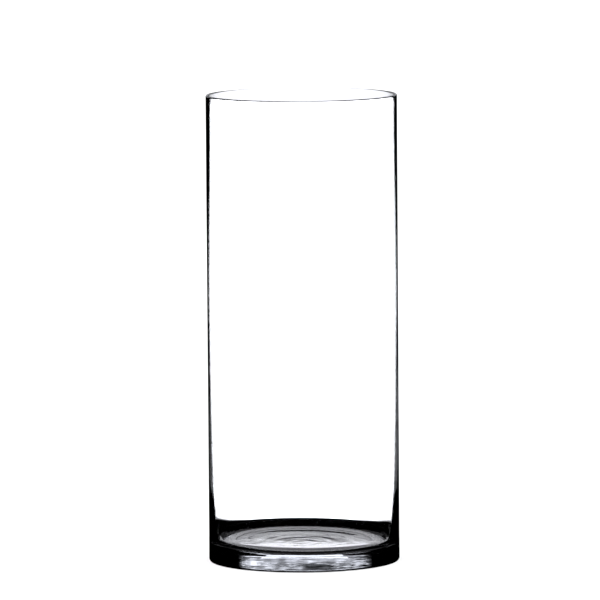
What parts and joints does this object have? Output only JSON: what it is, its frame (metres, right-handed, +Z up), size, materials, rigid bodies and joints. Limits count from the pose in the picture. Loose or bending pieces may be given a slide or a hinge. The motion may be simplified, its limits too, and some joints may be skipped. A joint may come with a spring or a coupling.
{
  "type": "glass cylinder vase",
  "caption": "Tall clear glass cylinder vase with a thin straight wall, a fire-polished lip and a thick heavy base, to hold cut flowers and water.",
  "frame": {"origin": "centre of the foot ring that the vase stands on, at the level of the table", "axes": "+Z up the vase's axis to the open mouth; X and Y are alike, because the vase is round"},
  "size_m": [0.1226, 0.1224, 0.3],
  "materials": {
    "clear_glass": "clear, fire-polished, high gloss"
  },
  "bodies": {
    "root": {"vase_body": "clear_glass"}
  },
  "joints": []
}
